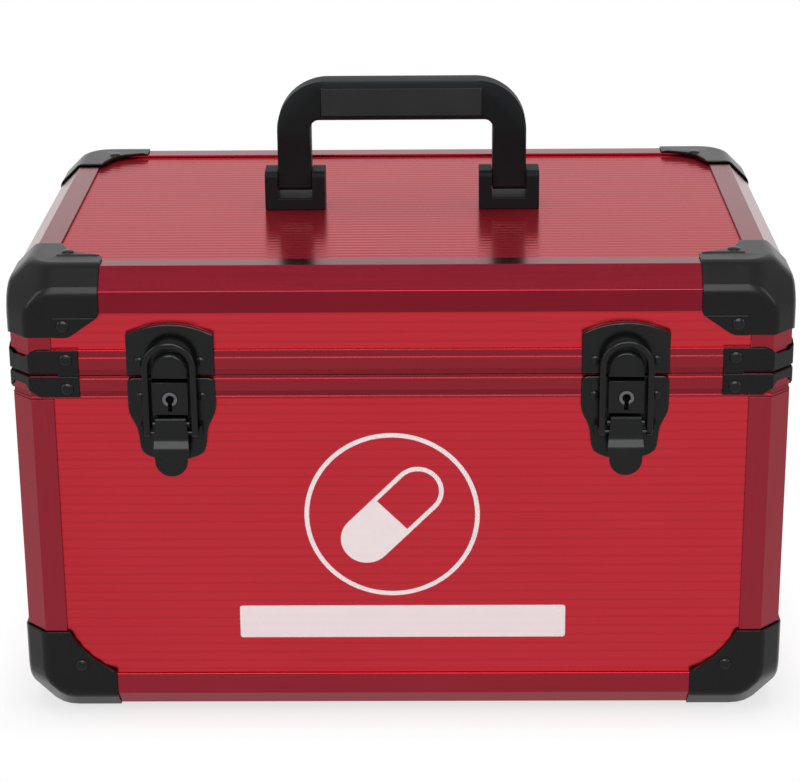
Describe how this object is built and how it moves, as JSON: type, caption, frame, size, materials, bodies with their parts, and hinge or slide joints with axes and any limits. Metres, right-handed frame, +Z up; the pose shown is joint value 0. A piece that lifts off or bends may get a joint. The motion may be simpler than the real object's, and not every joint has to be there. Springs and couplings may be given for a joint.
{
  "type": "medication lock box",
  "caption": "Lockable medicine case of ribbed aluminium boards with moulded corners, a hinged lid, key-lockable draw latches and a folding top handle.",
  "frame": {"origin": "on the standing plane under the moulded corners, midway across the width and midway from the latches' finger tabs to the rear hinges", "axes": "+X to the viewer's right across the front, +Y from the latches towards the hinges, +Z up"},
  "size_m": [0.4042, 0.28, 0.317],
  "materials": {
    "panel": "ribbed red anodised aluminium sheet, satin",
    "extrusion": "dark red anodised extrusion, semi-gloss",
    "corner": "black moulded ABS, fine satin",
    "handle": "black moulded nylon, satin",
    "grip": "soft black grip insert, matte",
    "latch": "black painted pressed steel, satin",
    "hinge": "black painted steel, satin",
    "lock": "blackened zinc lock plug",
    "lining": "thin dark grey foam-backed lining"
  },
  "bodies": {
    "base": {"front_panel": "panel", "back_panel": "panel", "left_panel": "panel", "right_panel": "panel", "bottom_panel": "panel", "front_left_post": "extrusion", "front_right_post": "extrusion", "back_left_post": "extrusion", "back_right_post": "extrusion", "front_bottom_rail": "extrusion", "back_bottom_rail": "extrusion", "left_bottom_rail": "extrusion", "right_bottom_rail": "extrusion", "base_closing_frame": "extrusion", "base_corner_front_left": "corner", "base_corner_front_right": "corner", "base_corner_back_left": "corner", "base_corner_back_right": "corner", "base_bracket_front_left": "corner", "base_bracket_front_right": "corner", "base_bracket_back_left": "corner", "base_bracket_back_right": "corner", "base_lining": "lining", "left_hinge_base_leaf": "hinge", "right_hinge_base_leaf": "hinge", "left_latch_plate": "latch", "right_latch_plate": "latch"},
    "lid": {"top_panel": "panel", "lid_front_panel": "panel", "lid_back_panel": "panel", "lid_left_panel": "panel", "lid_right_panel": "panel", "front_top_rail": "extrusion", "back_top_rail": "extrusion", "left_top_rail": "extrusion", "right_top_rail": "extrusion", "lid_closing_frame": "extrusion", "lid_corner_front_left": "corner", "lid_corner_front_right": "corner", "lid_corner_back_left": "corner", "lid_corner_back_right": "corner", "lid_bracket_front_left": "corner", "lid_bracket_front_right": "corner", "lid_bracket_back_left": "corner", "lid_bracket_back_right": "corner", "lid_lining": "lining", "left_hinge_lid_leaf": "hinge", "right_hinge_lid_leaf": "hinge", "left_handle_mount": "handle", "right_handle_mount": "handle", "left_catch_plate": "latch", "right_catch_plate": "latch"},
    "handle": {"handle_body": "handle", "handle_grip": "grip"},
    "left_lever": {"left_latch_lever": "latch"},
    "right_lever": {"right_latch_lever": "latch"},
    "left_bail": {"left_latch_bail": "latch"},
    "right_bail": {"right_latch_bail": "latch"},
    "left_lock": {"left_lock_plug": "lock"},
    "right_lock": {"right_lock_plug": "lock"}
  },
  "joints": [
    {"name": "lid_hinge", "type": "hinge", "parent": "base", "child": "lid", "pos_m": [0, 0.13695, 0.192], "axis": [-1, 0, 0], "range_deg": [0, 95]},
    {"name": "handle_fold", "type": "hinge", "parent": "lid", "child": "handle", "pos_m": [0, 0.00365, 0.2625], "axis": [1, 0, 0], "range_deg": [-90, 90]},
    {"name": "left_lever_lift", "type": "hinge", "parent": "base", "child": "left_lever", "pos_m": [-0.1172, -0.13395, 0.1685], "axis": [-1, 0, 0], "range_deg": [0, 100]},
    {"name": "right_lever_lift", "type": "hinge", "parent": "base", "child": "right_lever", "pos_m": [0.1147, -0.13395, 0.1685], "axis": [-1, 0, 0], "range_deg": [0, 100]},
    {"name": "left_bail_swing", "type": "hinge", "parent": "left_lever", "child": "left_bail", "pos_m": [-0.1172, -0.13465, 0.164], "axis": [-1, 0, 0], "range_deg": [-112, 0]},
    {"name": "right_bail_swing", "type": "hinge", "parent": "right_lever", "child": "right_bail", "pos_m": [0.1147, -0.13465, 0.164], "axis": [-1, 0, 0], "range_deg": [-112, 0]},
    {"name": "left_lock_turn", "type": "hinge", "parent": "base", "child": "left_lock", "pos_m": [-0.1172, -0.13435, 0.1826], "axis": [0, 1, 0], "range_deg": [0, 90]},
    {"name": "right_lock_turn", "type": "hinge", "parent": "base", "child": "right_lock", "pos_m": [0.1147, -0.13435, 0.1826], "axis": [0, 1, 0], "range_deg": [0, 90]}
  ],
  "couplings": [
    {"joint": "left_bail_swing", "follows": "left_lever_lift", "ratio": -1.1},
    {"joint": "right_bail_swing", "follows": "right_lever_lift", "ratio": -1.1}
  ]
}
